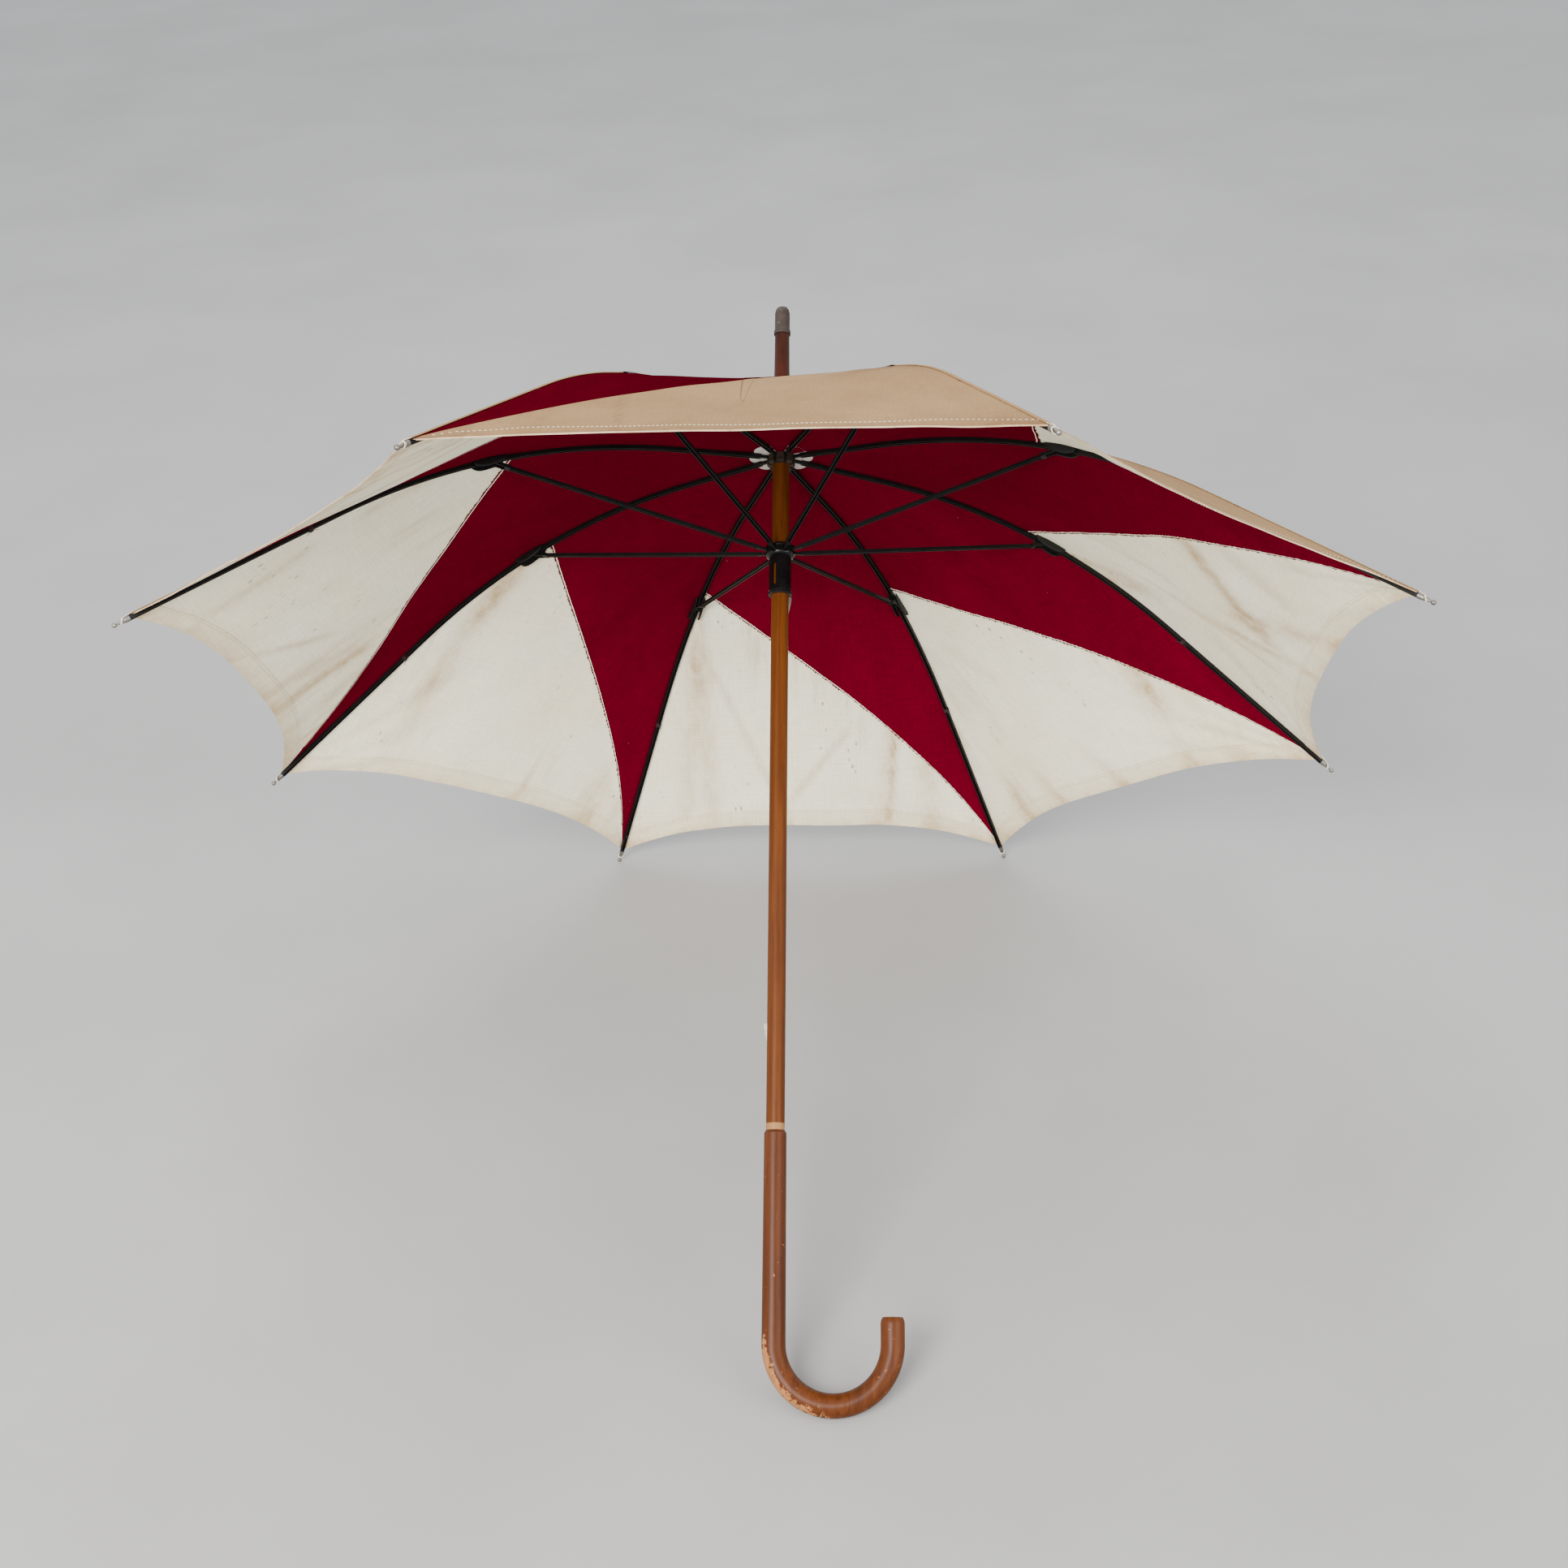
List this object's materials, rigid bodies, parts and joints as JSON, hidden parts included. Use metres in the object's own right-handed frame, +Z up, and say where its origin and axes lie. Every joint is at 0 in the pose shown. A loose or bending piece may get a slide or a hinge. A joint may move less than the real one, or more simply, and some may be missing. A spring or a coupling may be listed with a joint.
{
  "type": "stick umbrella",
  "caption": "Open wooden stick umbrella with a crook handle and a swirl of red and cream cloth, lying on its rib tips and handle; its ribs fold.",
  "frame": {"origin": "on the floor under the middle of the object's box, as it lies open on two rib tips and the bend of its crook", "axes": "+Z up from the floor, +X across the canopy, and +Y back under the leaning canopy, away from the handle"},
  "size_m": [0.9326, 0.7179, 0.7089],
  "materials": {
    "shaft_wood": "satin",
    "handle_wood": "gloss",
    "ferrule_metal": "satin",
    "end_plug": "matte",
    "fitting_metal": "satin",
    "wire": "satin",
    "rosette_cloth": "matte",
    "spring_steel": "satin",
    "runner_metal": "gloss",
    "collar_metal": "gloss",
    "rib_steel": "satin",
    "tip_metal": "satin",
    "patch_leather": "matte",
    "red_cloth": "matte",
    "cream_cloth": "matte"
  },
  "bodies": {
    "root": {"shaft": "shaft_wood", "crook_handle": "handle_wood", "ferrule": "ferrule_metal", "ferrule_plug": "end_plug", "top_notch": "fitting_metal", "notch_wire": "wire", "rosettes": "rosette_cloth"},
    "top_catch": {"top_spring": "spring_steel"},
    "bottom_catch": {"bottom_spring": "spring_steel"},
    "runner": {"runner": "runner_metal", "runner_wire": "wire", "runner_collar": "collar_metal"},
    "rib_1": {"rib_1": "rib_steel", "rib_tip_1": "tip_metal", "joint_patch_1": "patch_leather"},
    "stretcher_1": {"stretcher_1": "rib_steel"},
    "rib_2": {"rib_2": "rib_steel", "rib_tip_2": "tip_metal", "joint_patch_2": "patch_leather"},
    "stretcher_2": {"stretcher_2": "rib_steel"},
    "rib_3": {"rib_3": "rib_steel", "rib_tip_3": "tip_metal", "joint_patch_3": "patch_leather"},
    "stretcher_3": {"stretcher_3": "rib_steel"},
    "rib_4": {"rib_4": "rib_steel", "rib_tip_4": "tip_metal", "joint_patch_4": "patch_leather"},
    "stretcher_4": {"stretcher_4": "rib_steel"},
    "rib_5": {"rib_5": "rib_steel", "rib_tip_5": "tip_metal", "joint_patch_5": "patch_leather"},
    "stretcher_5": {"stretcher_5": "rib_steel"},
    "rib_6": {"rib_6": "rib_steel", "rib_tip_6": "tip_metal", "joint_patch_6": "patch_leather"},
    "stretcher_6": {"stretcher_6": "rib_steel"},
    "rib_7": {"rib_7": "rib_steel", "rib_tip_7": "tip_metal", "joint_patch_7": "patch_leather"},
    "stretcher_7": {"stretcher_7": "rib_steel"},
    "rib_8": {"rib_8": "rib_steel", "rib_tip_8": "tip_metal", "joint_patch_8": "patch_leather"},
    "stretcher_8": {"stretcher_8": "rib_steel"},
    "cream_flap_1": {"gore_cream_1": "cream_cloth"},
    "red_flap_1": {"gore_red_1": "red_cloth"},
    "cream_flap_2": {"gore_cream_2": "cream_cloth"},
    "red_flap_2": {"gore_red_2": "red_cloth"},
    "cream_flap_3": {"gore_cream_3": "cream_cloth"},
    "red_flap_3": {"gore_red_3": "red_cloth"},
    "cream_flap_4": {"gore_cream_4": "cream_cloth"},
    "red_flap_4": {"gore_red_4": "red_cloth"},
    "cream_flap_5": {"gore_cream_5": "cream_cloth"},
    "red_flap_5": {"gore_red_5": "red_cloth"},
    "cream_flap_6": {"gore_cream_6": "cream_cloth"},
    "red_flap_6": {"gore_red_6": "red_cloth"},
    "cream_flap_7": {"gore_cream_7": "cream_cloth"},
    "red_flap_7": {"gore_red_7": "red_cloth"},
    "cream_flap_8": {"gore_cream_8": "cream_cloth"},
    "red_flap_8": {"gore_red_8": "red_cloth"}
  },
  "joints": [
    {"name": "rib_fold_1", "type": "hinge", "parent": "root", "child": "rib_1", "pos_m": [-0.00901, 0.21308, 0.49598], "axis": [0.3827, -0.6014, 0.7013], "range_deg": [0, 65], "deforming": ["bottom_spring", "gore_cream_1", "gore_cream_2", "gore_cream_3", "gore_cream_4", "gore_cream_5", "gore_cream_6", "gore_cream_7", "gore_cream_8", "gore_red_1", "gore_red_2", "gore_red_3", "gore_red_4", "gore_red_5", "gore_red_6", "gore_red_7", "gore_red_8", "top_spring"]},
    {"name": "stretcher_swing_1", "type": "hinge", "parent": "rib_1", "child": "stretcher_1", "pos_m": [-0.22173, 0.12433, 0.53594], "axis": [0.3827, -0.6014, 0.7013], "range_deg": [-130, 0]},
    {"name": "rib_fold_2", "type": "hinge", "parent": "root", "child": "rib_2", "pos_m": [-0.00901, 0.21794, 0.49031], "axis": [-0.3827, -0.6014, 0.7013], "range_deg": [0, 65]},
    {"name": "stretcher_swing_2", "type": "hinge", "parent": "rib_2", "child": "stretcher_2", "pos_m": [-0.22173, 0.24391, 0.39651], "axis": [-0.3827, -0.6014, 0.7013], "range_deg": [-130, 0]},
    {"name": "rib_fold_3", "type": "hinge", "parent": "root", "child": "rib_3", "pos_m": [-0.00373, 0.22138, 0.48631], "axis": [-0.9239, -0.2491, 0.2905], "range_deg": [0, 65]},
    {"name": "stretcher_swing_3", "type": "hinge", "parent": "rib_3", "child": "stretcher_3", "pos_m": [-0.09184, 0.32847, 0.29791], "axis": [-0.9239, -0.2491, 0.2905], "range_deg": [-130, 0]},
    {"name": "rib_fold_4", "type": "hinge", "parent": "root", "child": "rib_4", "pos_m": [0.00373, 0.22138, 0.48631], "axis": [-0.9239, 0.2491, -0.2905], "range_deg": [0, 65]},
    {"name": "stretcher_swing_4", "type": "hinge", "parent": "rib_4", "child": "stretcher_4", "pos_m": [0.09184, 0.32847, 0.29791], "axis": [-0.9239, 0.2491, -0.2905], "range_deg": [-130, 0]},
    {"name": "rib_fold_5", "type": "hinge", "parent": "root", "child": "rib_5", "pos_m": [0.00901, 0.21794, 0.49031], "axis": [-0.3827, 0.6014, -0.7013], "range_deg": [0, 65]},
    {"name": "stretcher_swing_5", "type": "hinge", "parent": "rib_5", "child": "stretcher_5", "pos_m": [0.22173, 0.24391, 0.39651], "axis": [-0.3827, 0.6014, -0.7013], "range_deg": [-130, 0]},
    {"name": "rib_fold_6", "type": "hinge", "parent": "root", "child": "rib_6", "pos_m": [0.00901, 0.21308, 0.49598], "axis": [0.3827, 0.6014, -0.7013], "range_deg": [0, 65]},
    {"name": "stretcher_swing_6", "type": "hinge", "parent": "rib_6", "child": "stretcher_6", "pos_m": [0.22173, 0.12433, 0.53594], "axis": [0.3827, 0.6014, -0.7013], "range_deg": [-130, 0]},
    {"name": "rib_fold_7", "type": "hinge", "parent": "root", "child": "rib_7", "pos_m": [0.00373, 0.20965, 0.49998], "axis": [0.9239, 0.2491, -0.2905], "range_deg": [0, 65]},
    {"name": "stretcher_swing_7", "type": "hinge", "parent": "rib_7", "child": "stretcher_7", "pos_m": [0.09184, 0.03977, 0.63453], "axis": [0.9239, 0.2491, -0.2905], "range_deg": [-130, 0]},
    {"name": "rib_fold_8", "type": "hinge", "parent": "root", "child": "rib_8", "pos_m": [-0.00373, 0.20965, 0.49998], "axis": [0.9239, -0.2491, 0.2905], "range_deg": [0, 65]},
    {"name": "stretcher_swing_8", "type": "hinge", "parent": "rib_8", "child": "stretcher_8", "pos_m": [-0.09184, 0.03977, 0.63453], "axis": [0.9239, -0.2491, 0.2905], "range_deg": [-130, 0]},
    {"name": "runner_travel", "type": "hinge", "parent": "stretcher_1", "child": "runner", "pos_m": [-0.00901, 0.1503, 0.44213], "axis": [0.3827, -0.6014, 0.7013], "range_deg": [0, 65]},
    {"name": "cream_fall_1", "type": "hinge", "parent": "rib_1", "child": "cream_flap_1", "pos_m": [-0.00901, 0.21308, 0.49598], "axis": [0.8499, 0.5268, -0.0119], "range_deg": [0, 74.75]},
    {"name": "red_fall_1", "type": "hinge", "parent": "rib_2", "child": "red_flap_1", "pos_m": [-0.00901, 0.21794, 0.49031], "axis": [-0.8499, -0.0685, -0.5225], "range_deg": [0, 74.75]},
    {"name": "cream_fall_2", "type": "hinge", "parent": "rib_2", "child": "cream_flap_2", "pos_m": [-0.00901, 0.21794, 0.49031], "axis": [0.8499, 0.0685, 0.5225], "range_deg": [0, 74.75]},
    {"name": "red_fall_2", "type": "hinge", "parent": "rib_3", "child": "red_flap_2", "pos_m": [-0.00373, 0.22138, 0.48631], "axis": [-0.352, 0.2556, -0.9004], "range_deg": [0, 74.75]},
    {"name": "cream_fall_3", "type": "hinge", "parent": "rib_3", "child": "cream_flap_3", "pos_m": [-0.00373, 0.22138, 0.48631], "axis": [0.352, -0.2556, 0.9004], "range_deg": [0, 74.75]},
    {"name": "red_fall_3", "type": "hinge", "parent": "rib_4", "child": "red_flap_3", "pos_m": [0.00373, 0.22138, 0.48631], "axis": [0.352, 0.2556, -0.9004], "range_deg": [0, 74.75]},
    {"name": "cream_fall_4", "type": "hinge", "parent": "rib_4", "child": "cream_flap_4", "pos_m": [0.00373, 0.22138, 0.48631], "axis": [-0.352, -0.2556, 0.9004], "range_deg": [0, 74.75]},
    {"name": "red_fall_4", "type": "hinge", "parent": "rib_5", "child": "red_flap_4", "pos_m": [0.00901, 0.21794, 0.49031], "axis": [0.8499, -0.0685, -0.5225], "range_deg": [0, 74.75]},
    {"name": "cream_fall_5", "type": "hinge", "parent": "rib_5", "child": "cream_flap_5", "pos_m": [0.00901, 0.21794, 0.49031], "axis": [-0.8499, 0.0685, 0.5225], "range_deg": [0, 74.75]},
    {"name": "red_fall_5", "type": "hinge", "parent": "rib_6", "child": "red_flap_5", "pos_m": [0.00901, 0.21308, 0.49598], "axis": [0.8499, -0.5268, 0.0119], "range_deg": [0, 74.75]},
    {"name": "cream_fall_6", "type": "hinge", "parent": "rib_6", "child": "cream_flap_6", "pos_m": [0.00901, 0.21308, 0.49598], "axis": [-0.8499, 0.5268, -0.0119], "range_deg": [0, 74.75]},
    {"name": "red_fall_6", "type": "hinge", "parent": "rib_7", "child": "red_flap_6", "pos_m": [0.00373, 0.20965, 0.49998], "axis": [0.352, -0.8509, 0.3898], "range_deg": [0, 74.75]},
    {"name": "cream_fall_7", "type": "hinge", "parent": "rib_7", "child": "cream_flap_7", "pos_m": [0.00373, 0.20965, 0.49998], "axis": [-0.352, 0.8509, -0.3898], "range_deg": [0, 74.75]},
    {"name": "red_fall_7", "type": "hinge", "parent": "rib_8", "child": "red_flap_7", "pos_m": [-0.00373, 0.20965, 0.49998], "axis": [-0.352, -0.8509, 0.3898], "range_deg": [0, 74.75]},
    {"name": "cream_fall_8", "type": "hinge", "parent": "rib_8", "child": "cream_flap_8", "pos_m": [-0.00373, 0.20965, 0.49998], "axis": [0.352, 0.8509, -0.3898], "range_deg": [0, 74.75]},
    {"name": "red_fall_8", "type": "hinge", "parent": "rib_1", "child": "red_flap_8", "pos_m": [-0.00901, 0.21308, 0.49598], "axis": [-0.8499, -0.5268, 0.0119], "range_deg": [0, 74.75]},
    {"name": "top_catch_press", "type": "hinge", "parent": "root", "child": "top_catch", "pos_m": [0.004, 0.09368, 0.38866], "axis": [0, -0.651, 0.7591], "range_deg": [0, 3.5], "stiffness_Nm_per_rad": 0.6},
    {"name": "bottom_catch_press", "type": "hinge", "parent": "root", "child": "bottom_catch", "pos_m": [-0.004, -0.1701, 0.16244], "axis": [0, 0.651, -0.7591], "range_deg": [0, 3.5], "stiffness_Nm_per_rad": 0.6}
  ],
  "couplings": [
    {"joint": "stretcher_swing_1", "follows": "rib_fold_1", "ratio": -2},
    {"joint": "rib_fold_2", "follows": "rib_fold_1", "ratio": 1},
    {"joint": "stretcher_swing_2", "follows": "rib_fold_1", "ratio": -2},
    {"joint": "rib_fold_3", "follows": "rib_fold_1", "ratio": 1},
    {"joint": "stretcher_swing_3", "follows": "rib_fold_1", "ratio": -2},
    {"joint": "rib_fold_4", "follows": "rib_fold_1", "ratio": 1},
    {"joint": "stretcher_swing_4", "follows": "rib_fold_1", "ratio": -2},
    {"joint": "rib_fold_5", "follows": "rib_fold_1", "ratio": 1},
    {"joint": "stretcher_swing_5", "follows": "rib_fold_1", "ratio": -2},
    {"joint": "rib_fold_6", "follows": "rib_fold_1", "ratio": 1},
    {"joint": "stretcher_swing_6", "follows": "rib_fold_1", "ratio": -2},
    {"joint": "rib_fold_7", "follows": "rib_fold_1", "ratio": 1},
    {"joint": "stretcher_swing_7", "follows": "rib_fold_1", "ratio": -2},
    {"joint": "rib_fold_8", "follows": "rib_fold_1", "ratio": 1},
    {"joint": "stretcher_swing_8", "follows": "rib_fold_1", "ratio": -2},
    {"joint": "runner_travel", "follows": "rib_fold_1", "ratio": 1},
    {"joint": "cream_fall_1", "follows": "rib_fold_1", "ratio": 1.15},
    {"joint": "red_fall_1", "follows": "rib_fold_1", "ratio": 1.15},
    {"joint": "cream_fall_2", "follows": "rib_fold_1", "ratio": 1.15},
    {"joint": "red_fall_2", "follows": "rib_fold_1", "ratio": 1.15},
    {"joint": "cream_fall_3", "follows": "rib_fold_1", "ratio": 1.15},
    {"joint": "red_fall_3", "follows": "rib_fold_1", "ratio": 1.15},
    {"joint": "cream_fall_4", "follows": "rib_fold_1", "ratio": 1.15},
    {"joint": "red_fall_4", "follows": "rib_fold_1", "ratio": 1.15},
    {"joint": "cream_fall_5", "follows": "rib_fold_1", "ratio": 1.15},
    {"joint": "red_fall_5", "follows": "rib_fold_1", "ratio": 1.15},
    {"joint": "cream_fall_6", "follows": "rib_fold_1", "ratio": 1.15},
    {"joint": "red_fall_6", "follows": "rib_fold_1", "ratio": 1.15},
    {"joint": "cream_fall_7", "follows": "rib_fold_1", "ratio": 1.15},
    {"joint": "red_fall_7", "follows": "rib_fold_1", "ratio": 1.15},
    {"joint": "cream_fall_8", "follows": "rib_fold_1", "ratio": 1.15},
    {"joint": "red_fall_8", "follows": "rib_fold_1", "ratio": 1.15}
  ]
}
